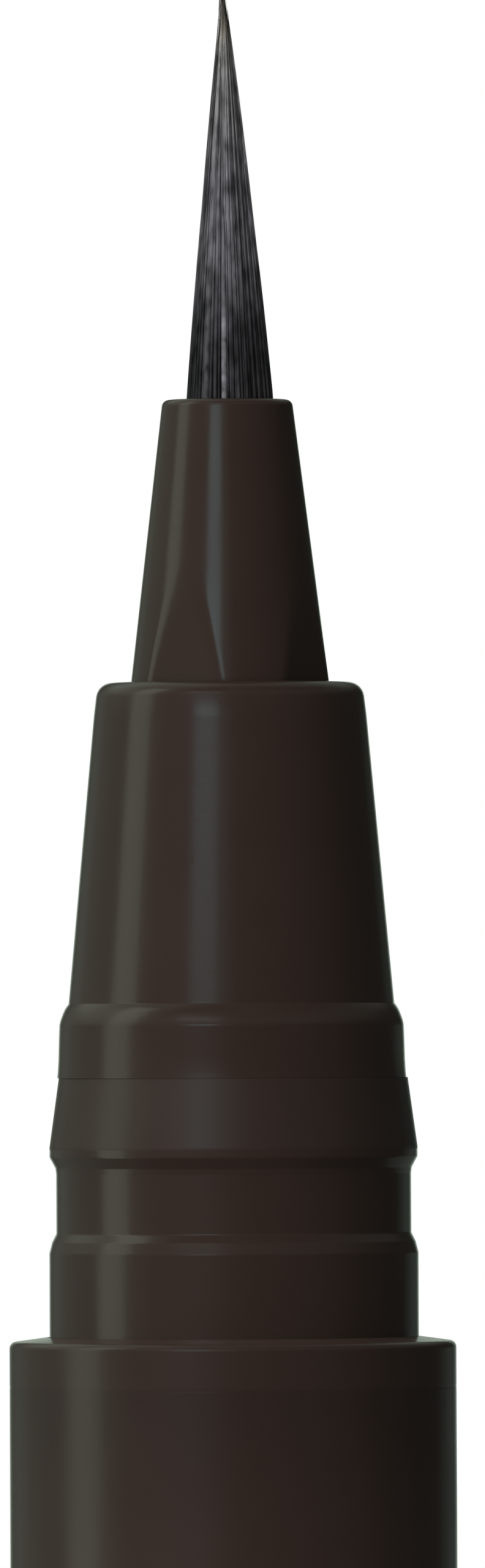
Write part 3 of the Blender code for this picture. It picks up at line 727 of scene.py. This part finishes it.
# Each filament leans in towards the axis as it rises, with a slight belly, strays a little from
# its line, and hooks over with the others at the very point.
whole = brush_math("ADD", brush_math("MULTIPLY", reach, brush_in["Length"]), brush_in["Sink"])
strand_height = brush_math("SUBTRACT", brush_math("MULTIPLY", share, whole), brush_in["Sink"])
up = brush_math("MAXIMUM", brush_math("DIVIDE", strand_height, brush_in["Length"]), 0.0)
belly = brush_math("MULTIPLY_ADD", brush_math("POWER", up, 4.0), UPPER_BELLY, 1.0)
belly = brush_math("MULTIPLY_ADD", up, BELLY, belly)
spread = brush_math("MULTIPLY", brush_math("SUBTRACT", 1.0, up), belly)
spread = brush_math("MULTIPLY_ADD", brush_math("POWER", up, 14.0), POINT_WIDTH, spread)
loose = brush_math("MULTIPLY", brush_math("MULTIPLY", share, up), brush_in["Stray"])
stray_x = brush_math("MULTIPLY", loose, brush_math("SUBTRACT", draw(1), 0.5))
stray_y = brush_math("MULTIPLY", loose, brush_math("SUBTRACT", draw(2), 0.5))
hooked = brush_math("MULTIPLY_ADD", brush_math("POWER", up, 38.0), POINT_HOOK, up)
sway = brush_math("SUBTRACT", stray_x, brush_math("MULTIPLY", hooked, brush_in["Lean"]))
across = brush_math("MULTIPLY", brush_math("MULTIPLY", field, root_share), spread)
laid = brush_tree.nodes.new("GeometryNodeSetPosition")
join(copies.outputs["Geometry"], laid.inputs["Geometry"])
join(brush_spot(brush_math("MULTIPLY_ADD", across, root_cosine, sway),
                brush_math("MULTIPLY_ADD", across, root_sine, stray_y),
                brush_math("ADD", strand_height, brush_in["Foot Height"])),
     laid.inputs["Position"])

# The ink lies unevenly from clump to clump. Painted shade darkens the left edge and right of the
# middle, painted light makes the right edge paler, and two filaments are bare near the foot.
to_side = brush_math("MULTIPLY", root_share, root_cosine)
to_back = brush_math("MULTIPLY", root_share, root_sine)
root_spot = brush_spot(to_side, to_back, brush_math("MULTIPLY", brush_in["Seed"], 3.7))
ink_tint_and_side_light = brush_math("SUBTRACT", noise(brush_tree, root_spot, CLUMP_SCALE, 1.0), 0.5)
ink_tint_and_side_light = brush_math("MULTIPLY_ADD", ink_tint_and_side_light, CLUMP_CONTRAST, CLUMP_TINT)
ink_tint_and_side_light = brush_math("MULTIPLY_ADD", draw(3), STRAND_CONTRAST, ink_tint_and_side_light)
ink_tint_and_side_light = brush_math("MAXIMUM", ink_tint_and_side_light, LEAST_TINT)
# Painted light and shade by side: each filament is tinted by where it stands from left to right.
for start, end, low, high in SIDE_PAINTED_LIGHT:
    side_painted_light = ramp(brush_tree, to_side, start, end, low, high, smooth=True)
    ink_tint_and_side_light = brush_math("MULTIPLY", ink_tint_and_side_light, side_painted_light)
is_bare = brush_math("COMPARE", number, brush_in["Bare Filament"], 0.5)
is_faint = brush_math("COMPARE", number, brush_in["Fainter Filament"], 0.5)
is_bare = brush_math("MULTIPLY_ADD", is_faint, FAINTER, is_bare)
bare_low = ramp(brush_tree, up, BARE_TO, COVERED_FROM, 1.0, 0.0)
strands = marked(laid.outputs["Geometry"], "CURVE", "strand_tint_and_painted_light", ink_tint_and_side_light)
strands = marked(strands, "POINT", "strand_bare", brush_math("MULTIPLY", is_bare, bare_low))
slimmer = brush_math("MAXIMUM", brush_math("SQRT", spread), LEAST_THICKNESS)
pointed = brush_math("MULTIPLY", brush_math("POWER", share, 6.0), POINTING)
pointed = brush_math("SUBTRACT", 1.0, pointed)
thick = brush_math("MULTIPLY", brush_in["Filament Radius"], slimmer)
thick = brush_math("MULTIPLY", thick, pointed)
swollen = brush_math("MULTIPLY_ADD", brush_math("CEIL", is_bare), BARE_SWELL, 1.0)
strand_mesh = swept(brush_tree, strands, 5, 1.0, scale=brush_math("MULTIPLY", thick, swollen))
smooth = brush_tree.nodes.new("GeometryNodeSetShadeSmooth")
join(strand_mesh, smooth.inputs["Geometry"])
handed_over(brush_tree, smooth.outputs["Geometry"], brush_in["Material"])
brush = grown("brush_filaments", brush_tree, {
    "Count": 640,
    "Steps": 16,
    "Foot Radius": (BRUSH_RADIUS + BRUSH_MARGIN) * MM,
    "Length": BRUSH_LENGTH * MM,
    "Sink": BRUSH_SINK * MM,
    "Lean": BRUSH_LEAN * MM,
    "Foot Height": rim + NOSE_TOP * MM,
    "Filament Radius": FILAMENT_RADIUS * MM,
    "Stray": FILAMENT_STRAY * MM,
    "Bare Filament": BARE_FILAMENT,
    "Fainter Filament": FAINTER_FILAMENT,
    "Seed": 3,
    "Material": wet_filament,
})
brush.data.transform(Matrix.Translation((BRUSH_OFF_CENTRE * MM, 0.0, 0.0)))
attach(brush, "pen")
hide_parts("brush_bristles")
brush_disc = turned("brush_backing", [
    (0.0, -BRUSH_SINK, 0.0),
    (BRUSH_RADIUS, -BRUSH_SINK, 0.02),
    (BRUSH_RADIUS, -BRUSH_SINK - BRUSH_BACKING, 0.02),
    (0.0, -BRUSH_SINK - BRUSH_BACKING, 0.0),
], rim + NOSE_TOP * MM, wet_filament, closed=False, segments=96)
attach(brush_disc, "pen")

# Inner works of the front: the bonded butt of the brush, the bush that holds it, the fibre relay
# that feeds it, the finned collector round the relay and the rubber seal that closes the ink tank.
bonded_butt = skinned(
    "bonded_brush_butt", (0.020, 0.016, 0.015), roughness=0.5, mottle=0.5, mottle_scale=4000.0,
    spread=0.2, grain_scale=20000.0, grain_height=0.004)[0]
milky_plastic, tree, shader, skin = skinned(
    "milky_moulded_plastic", (0.62, 0.60, 0.56), roughness=0.42, mottle=0.05, mottle_scale=400.0,
    spread=0.10, grain_scale=6000.0, grain_height=0.002)
shader.inputs["Subsurface Weight"].default_value = 0.25
shader.inputs["Subsurface Radius"].default_value = (0.0012, 0.0010, 0.0008)
shader.inputs["Subsurface Scale"].default_value = 1.0
relay_fibre = skinned(
    "inked_relay_fibre", (0.11, 0.08, 0.06), roughness=0.88, mottle=0.9, mottle_scale=5000.0,
    spread=0.1, grain_scale=14000.0, grain_height=0.02)[0]
soft_rubber = skinned(
    "soft_seal_rubber", (0.045, 0.043, 0.042), roughness=0.68, mottle=0.2, mottle_scale=900.0,
    spread=0.15, grain_scale=9000.0, grain_height=0.004)[0]
inner_works = {
    "brush_root": bonded_butt,
    "brush_retainer": milky_plastic,
    "relay_core": relay_fibre,
    "collector": milky_plastic,
    "tank_seal": soft_rubber,
}
for node, material in inner_works.items():
    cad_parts[node].data.materials.clear()
    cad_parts[node].data.materials.append(material)

# Mixing ball: a polished steel ball, loose in the tank. It stirs the ink when the pen is shaken,
# and a thin uneven film dulls it in places.
BALL_GREY = (0.56, 0.56, 0.57)


def steel(name, colour, film_scale, film_detail, least_rough):
    """Bright steel under a thin uneven film."""
    material, tree, shader = new_finish(name)
    shader.inputs["Metallic"].default_value = 1.0
    film = noise(tree, place_on(tree), film_scale, film_detail)
    film_shade = calculate(tree, "MULTIPLY_ADD", film, 0.3, 0.85)
    feed(tree, shader.inputs["Base Color"], tinted(tree, colour, film_shade))
    feed(tree, shader.inputs["Roughness"], calculate(tree, "MULTIPLY_ADD", film, 0.2, least_rough))
    return material


ball_steel = steel("polished_ball_steel", BALL_GREY, 1500.0, 3.0, 0.10)
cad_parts["mixing_ball"].data.materials.clear()
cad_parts["mixing_ball"].data.materials.append(ball_steel)

# Tail plug: a brown plastic cup pressed into the barrel's foot. It closes the ink tank, and its
# spigot takes the cap when the cap is posted.
PLUG_BORE = 2.795
PLUG_TOP = 5.0
PLUG_FLOOR = -5.2
SPIGOT_RADIUS = 3.745
SPIGOT_FOOT = -6.5
SPIGOT_CHAMFER = 0.4
plug = turned("tail_plug_cup", [
    (0.0, PLUG_FLOOR, 0.0),
    (PLUG_BORE, PLUG_FLOOR, 0.15),
    (PLUG_BORE, PLUG_TOP, 0.05),
    (SEAT_RADIUS, PLUG_TOP, 0.10),
    (SEAT_RADIUS, 0.0, 0.0),
    (SPIGOT_RADIUS, 0.0, 0.03),
    (SPIGOT_RADIUS, SPIGOT_FOOT + SPIGOT_CHAMFER, 0.10),
    (SPIGOT_RADIUS - SPIGOT_CHAMFER, SPIGOT_FOOT, 0.10),
    (0.0, SPIGOT_FOOT, 0.0),
], barrel_foot, front_plastic, closed=False)
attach(plug, "pen")
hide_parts("tail_plug")

# Cap shell: a brown plastic tube to match the barrel. Inside its mouth is the snap bead, then a
# guide bore for the inner cap, and a wider chamber for the inner cap's flange and its spring.
# Heights of the cap's pieces count from its mouth.
SHELL_FOOT = -37.76
GUIDE_BORE = 3.7291
GUIDE_TOP = -10.6
CHAMBER_BORE = 4.0291
CHAMBER_TOP = -29.11
BEAD_RADIUS = 3.795
BEAD_TOP = -2.72
BEAD_FOOT = -3.22
BEAD_FLANK = 0.20
cap_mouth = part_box("cap_shell")[1].z
shell = turned("cap_shell_tube", [
    (BARREL_BORE, 0.0, 0.03),
    (BARREL_RADIUS, 0.0, RIM_ROUND),
    (BARREL_RADIUS, SHELL_FOOT, 0.03),
    (CHAMBER_BORE, SHELL_FOOT, 0.0),
    (CHAMBER_BORE, CHAMBER_TOP, 0.0),
    (GUIDE_BORE, CHAMBER_TOP, 0.03),
    (GUIDE_BORE, GUIDE_TOP, 0.05),
    (BARREL_BORE, GUIDE_TOP, 0.0),
    (BARREL_BORE, BEAD_FOOT - BEAD_FLANK, 0.05),
    (BEAD_RADIUS, BEAD_FOOT, 0.08),
    (BEAD_RADIUS, BEAD_TOP, 0.08),
    (BARREL_BORE, BEAD_TOP + BEAD_FLANK, 0.05),
], cap_mouth, barrel_plastic)
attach(shell, "cap")
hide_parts("cap_shell")

# Cap crown: a brown plastic plug pressed into the shell's closed end. Its post centres the spring,
# and its flat outer face is what the pen stands on.
POST_RADIUS = 1.6
POST_TOP = -33.96
CROWN_PLUG_RADIUS = 3.9891
CROWN_PLUG_TOP = -35.76
CROWN_SHOULDER = -37.78
CROWN_FOOT = -38.98
CROWN_ROUND = 0.35
crown = turned("cap_crown_plug", [
    (0.0, POST_TOP, 0.0),
    (POST_RADIUS, POST_TOP, 0.1),
    (POST_RADIUS, CROWN_PLUG_TOP, 0.05),
    (CROWN_PLUG_RADIUS, CROWN_PLUG_TOP, 0.1),
    (CROWN_PLUG_RADIUS, CROWN_SHOULDER, 0.0),
    (BARREL_RADIUS, CROWN_SHOULDER, 0.03),
    (BARREL_RADIUS, CROWN_FOOT, CROWN_ROUND),
    (0.0, CROWN_FOOT, 0.0),
], cap_mouth, barrel_plastic, closed=False)
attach(crown, "cap")
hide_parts("cap_crown")

# Inner cap: a cup of uncoloured plastic that slides in the shell. It closes on the sleeve's taper
# round the brush, and the spring behind its flange keeps it pressed there.
CUP_RADIUS = 3.6791
CUP_BORE = 3.0491
CUP_MOUTH = -10.9
CUP_FLOOR = -29.36
CUP_FLANGE_RADIUS = 3.9791
CUP_FLANGE_TOP = -29.16
CUP_FLANGE_FOOT = -30.16
CUP_POST_FOOT = -31.16
cup = turned("inner_cap_cup", [
    (0.0, CUP_FLOOR, 0.0),
    (CUP_BORE, CUP_FLOOR, 0.3),
    (CUP_BORE, CUP_MOUTH, 0.15),
    (CUP_RADIUS, CUP_MOUTH, 0.10),
    (CUP_RADIUS, CUP_FLANGE_TOP, 0.03),
    (CUP_FLANGE_RADIUS, CUP_FLANGE_TOP, 0.05),
    (CUP_FLANGE_RADIUS, CUP_FLANGE_FOOT, 0.05),
    (POST_RADIUS, CUP_FLANGE_FOOT, 0.05),
    (POST_RADIUS, CUP_POST_FOOT, 0.10),
    (0.0, CUP_POST_FOOT, 0.0),
], cap_mouth, milky_plastic, closed=False)
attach(cup, "inner_cap")
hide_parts("inner_cap")

# Cap spring: one drawn steel wire wound in five turns between the inner cap and the crown.
# It shortens along the axis as the inner cap is pushed in.
COIL_RADIUS = 2.05
COIL_RISE = 5.0
COIL_FOOT = -35.46
WIRE_RADIUS = 0.20
spring_steel = steel("drawn_spring_steel", (0.48, 0.48, 0.49), 4000.0, 4.0, 0.20)
coil_tree, coil_in, wind = recipe("wound_wire", {
    "Turns": "Float",
    "Points per Turn": "Int",
    "Coil Radius": "Float",
    "Rise": "Float",
    "Foot Height": "Float",
    "Wire Radius": "Float",
    "Material": "Material",
})
spiral = coil_tree.nodes.new("GeometryNodeCurveSpiral")
spiral.inputs["Reverse"].default_value = True
wind(coil_in["Points per Turn"], spiral.inputs["Resolution"])
wind(coil_in["Turns"], spiral.inputs["Rotations"])
wind(coil_in["Coil Radius"], spiral.inputs["Start Radius"])
wind(coil_in["Coil Radius"], spiral.inputs["End Radius"])
wind(coil_in["Rise"], spiral.inputs["Height"])
lift = coil_tree.nodes.new("ShaderNodeCombineXYZ")
wind(coil_in["Foot Height"], lift.inputs["Z"])
raised = coil_tree.nodes.new("GeometryNodeSetPosition")
wind(spiral.outputs["Curve"], raised.inputs["Geometry"])
wind(lift.outputs["Vector"], raised.inputs["Offset"])
wire_mesh = swept(coil_tree, raised.outputs["Geometry"], 16, coil_in["Wire Radius"])
handed_over(coil_tree, wire_mesh, coil_in["Material"])
spring = grown("cap_spring_wire", coil_tree, {
    "Turns": 5.0,
    "Points per Turn": 40,
    "Coil Radius": COIL_RADIUS * MM,
    "Rise": COIL_RISE * MM,
    "Foot Height": cap_mouth + COIL_FOOT * MM,
    "Wire Radius": WIRE_RADIUS * MM,
    "Material": spring_steel,
})
spring.data.shade_smooth()
spring.data.set_sharp_from_angle(angle=SHARP_ANGLE)
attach(spring, "cap")
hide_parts("cap_spring")
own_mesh(spring)

# Floor: a plain pale sheet that the pen stands on. The camera sees it nearly white near the pen,
# fading to plain white further off, and it keeps the pen's soft shadow. From here on, sizes are
# in metres, but for the camera's.
FLOOR_HALF = 1.5
PAPER_GREY = (0.86, 0.86, 0.86, 1.0)
PAPER_WHITE_NEAR = 0.78
FADE_FROM = 0.10
FADE_TO = 0.80
floor_mesh = bpy.data.meshes.new("floor")
floor_mesh.from_pydata([
    (-FLOOR_HALF, -FLOOR_HALF, 0), (FLOOR_HALF, -FLOOR_HALF, 0),
    (FLOOR_HALF, FLOOR_HALF, 0), (-FLOOR_HALF, FLOOR_HALF, 0),
], [], [(0, 1, 2, 3)])
floor = placed("floor", floor_mesh)
pale_paper, tree, shader = new_finish("pale_paper")
tree.nodes.remove(shader)
paper_diffuse = tree.nodes.new("ShaderNodeBsdfDiffuse")
paper_diffuse.inputs["Color"].default_value = PAPER_GREY
from_pen = tree.nodes.new("ShaderNodeVectorMath")
from_pen.operation = "LENGTH"
feed(tree, from_pen.inputs[0], place_on(tree))
paper_fade = ramp(tree, from_pen.outputs["Value"], FADE_FROM, FADE_TO, PAPER_WHITE_NEAR, 1.0)
seen_by_camera = tree.nodes.new("ShaderNodeLightPath").outputs["Is Camera Ray"]
paper_mix = tree.nodes.new("ShaderNodeMixShader")
feed(tree, paper_mix.inputs["Fac"], calculate(tree, "MULTIPLY", seen_by_camera, paper_fade))
feed(tree, paper_mix.inputs[1], paper_diffuse.outputs[0])
feed(tree, paper_mix.inputs[2], tree.nodes.new("ShaderNodeEmission").outputs[0])
paper_sides = tree.nodes.new("ShaderNodeMixShader")
from_below = tree.nodes.new("ShaderNodeNewGeometry").outputs["Backfacing"]
feed(tree, paper_sides.inputs["Fac"], from_below)
feed(tree, paper_sides.inputs[1], paper_mix.outputs[0])
feed(tree, paper_sides.inputs[2], tree.nodes.new("ShaderNodeBsdfTransparent").outputs[0])
feed(tree, tree.nodes["Material Output"].inputs["Surface"], paper_sides.outputs[0])
floor_mesh.materials.append(pale_paper)
floor.visible_glossy = False
floor.visible_diffuse = False
floor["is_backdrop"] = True

# Studio: a white world that the camera and clear or shiny things see, dimmer as soft fill light.
# In it hangs a dark cloth surround that only gloss sees, with faint greenish glows: behind the
# pen, at its left, above it, over the table behind, overhead behind and high on the left.
SOFT_FILL = 0.22
SURROUND_RADIUS = 2.5
CLOTH_GLOW = 0.03
CLOTH_TINT = (0.82, 1.0, 0.84, 1.0)
pen_middle = Vector((0.0, 0.0, 0.14))
studio = bpy.data.worlds.new("white_studio")
bpy.context.scene.world = studio
studio.use_nodes = True
studio.cycles.sampling_method = "NONE"
tree = studio.node_tree
sight = tree.nodes.new("ShaderNodeLightPath").outputs
seen = calculate(tree, "MAXIMUM", sight["Is Camera Ray"], sight["Is Glossy Ray"])
seen = calculate(tree, "MAXIMUM", seen, sight["Is Transmission Ray"])
background = tree.nodes["Background"].inputs
background["Color"].default_value = (1.0, 1.0, 1.0, 1.0)
feed(tree, background["Strength"],
     calculate(tree, "MULTIPLY_ADD", seen, 1.0 - SOFT_FILL, SOFT_FILL))
surround_shape = bmesh.new()
bmesh.ops.create_uvsphere(surround_shape, u_segments=64, v_segments=32, radius=SURROUND_RADIUS)
surround_mesh = bpy.data.meshes.new("studio_surround")
surround_shape.to_mesh(surround_mesh)
surround_shape.free()
surround = placed("studio_surround", surround_mesh)
surround.location = pen_middle
dark_cloth, cloth_tree, shader = new_finish("dark_cloth")
dark_cloth.cycles.emission_sampling = "NONE"
cloth_tree.nodes.remove(shader)
cloth_place = place_on(cloth_tree)


def glow_toward(azimuth, elevation, edge, core, strength):
    """A round glow on the cloth, whose edge and core are cosines of the angle from its middle.

    Its direction is given in degrees from the pen's front and from the level.
    """
    turn, rise = math.radians(azimuth), math.radians(elevation)
    toward = cloth_tree.nodes.new("ShaderNodeVectorMath")
    toward.operation = "DOT_PRODUCT"
    feed(cloth_tree, toward.inputs[0], cloth_place)
    toward.inputs[1].default_value = (
        math.sin(turn) * math.cos(rise), -math.cos(turn) * math.cos(rise), math.sin(rise))
    return ramp(cloth_tree, toward.outputs["Value"], edge * SURROUND_RADIUS,
                core * SURROUND_RADIUS, 0.0, strength, smooth=True)


behind = glow_toward(180, 0, edge=0.965, core=0.985, strength=0.9)
left = glow_toward(-108, 0, edge=0.45, core=0.85, strength=0.20)
up_to_overhead = glow_toward(0, 90, edge=0.25, core=0.45, strength=0.09)
short_of_overhead = glow_toward(0, 90, edge=0.75, core=0.55, strength=1.0)
above = calculate(cloth_tree, "MULTIPLY", up_to_overhead, short_of_overhead)
table = glow_toward(150, -19, edge=0.90, core=0.97, strength=0.10)
overhead = glow_toward(180, 60, edge=0.70, core=0.90, strength=0.20)
high_left = glow_toward(-114, 50, edge=0.70, core=0.92, strength=0.30)
cloth_light = CLOTH_GLOW
for glow in (behind, left, above, table, overhead, high_left):
    cloth_light = calculate(cloth_tree, "ADD", cloth_light, glow)
cloth_glow = cloth_tree.nodes.new("ShaderNodeEmission")
cloth_glow.inputs["Color"].default_value = CLOTH_TINT
feed(cloth_tree, cloth_glow.inputs["Strength"], cloth_light)
feed(cloth_tree, cloth_tree.nodes["Material Output"].inputs["Surface"], cloth_glow.outputs[0])
surround_mesh.materials.append(dark_cloth)
surround.visible_camera = False
surround.visible_diffuse = False
surround.visible_transmission = False
surround.visible_shadow = False
surround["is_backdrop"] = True

# Lamps: a tall strip close on the left, with a soft box, a dim edge and a high spot in front, all
# of which show in the gloss. A broad key, a top lamp and a back lamp light the plastic without
# showing in it.
WHITE = (1.0, 1.0, 1.0)


def lamp(name, azimuth, low, high, width, distance, power, gloss, colour):
    """A rectangular lamp that faces the pen, between two heights in metres above its middle."""
    light = bpy.data.lights.new(name, "AREA")
    light.shape = "RECTANGLE"
    light.size = width
    light.size_y = high - low
    light.energy = power
    light.color = colour
    turn = math.radians(azimuth)
    spot = Vector((math.sin(turn) * distance, -math.cos(turn) * distance, (low + high) / 2))
    facing_pen = (-spot).to_track_quat("-Z", "Y").to_matrix().to_4x4()
    holder = placed(name, light)
    holder.matrix_world = Matrix.Translation(pen_middle + spot) @ facing_pen
    holder.visible_camera = False
    holder.visible_glossy = gloss


lamp("left_strip", azimuth=-83, low=-0.36, high=0.60, width=0.235, distance=0.6, power=0.64,
     gloss=True, colour=(0.86, 1.0, 0.84))
lamp("front_box", azimuth=-20.5, low=0.128, high=0.168, width=0.205, distance=0.6, power=0.085,
     gloss=True, colour=(0.66, 1.0, 1.08))
lamp("front_edge", azimuth=-5, low=0.124, high=0.158, width=0.12, distance=0.6, power=0.006,
     gloss=True, colour=(0.70, 1.0, 0.80))
lamp("high_spot", azimuth=-25, low=0.34, high=0.46, width=0.34, distance=0.6, power=0.080,
     gloss=True, colour=(0.80, 1.0, 1.0))
lamp("soft_key", azimuth=-32, low=-0.20, high=0.60, width=0.70, distance=0.8, power=7.5,
     gloss=False, colour=WHITE)
lamp("soft_top", azimuth=-31, low=0.75, high=1.05, width=0.50, distance=0.12, power=2.3,
     gloss=False, colour=WHITE)
lamp("soft_back", azimuth=180, low=-0.20, high=0.60, width=0.30, distance=0.8, power=4.0,
     gloss=False, colour=WHITE)

# Camera: a long lens square on to the pen's front, close in on the brush and the stepped rings.
# It looks up by a touch, and the pen stands a quarter of a degree off upright in the picture.
LENS = 480.0
SENSOR = 36.0
SHOWN_HEIGHT = 33.33
CAMERA_AIM = 11.85
CAMERA_SIDE = 0.255
CAMERA_DROP = 4.5
PICTURE_LEAN = -0.25
camera_data = bpy.data.cameras.new("camera")
camera_data.lens = LENS
camera_data.sensor_width = SENSOR
camera_data.clip_start = 0.01
camera_data.clip_end = 50.0
camera = placed("camera", camera_data)
distance = SHOWN_HEIGHT * MM * LENS / SENSOR
camera_spot = Vector((CAMERA_SIDE * MM, -distance, rim + (CAMERA_AIM - CAMERA_DROP) * MM))
camera_tilt = math.radians(90) + math.atan(CAMERA_DROP * MM / distance)
camera.matrix_world = (Matrix.Translation(camera_spot) @ Matrix.Rotation(camera_tilt, 4, "X")
                       @ Matrix.Rotation(math.radians(PICTURE_LEAN), 4, "Z"))
bpy.context.scene.camera = camera
bpy.context.scene.view_settings.view_transform = "Standard"

low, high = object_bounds()
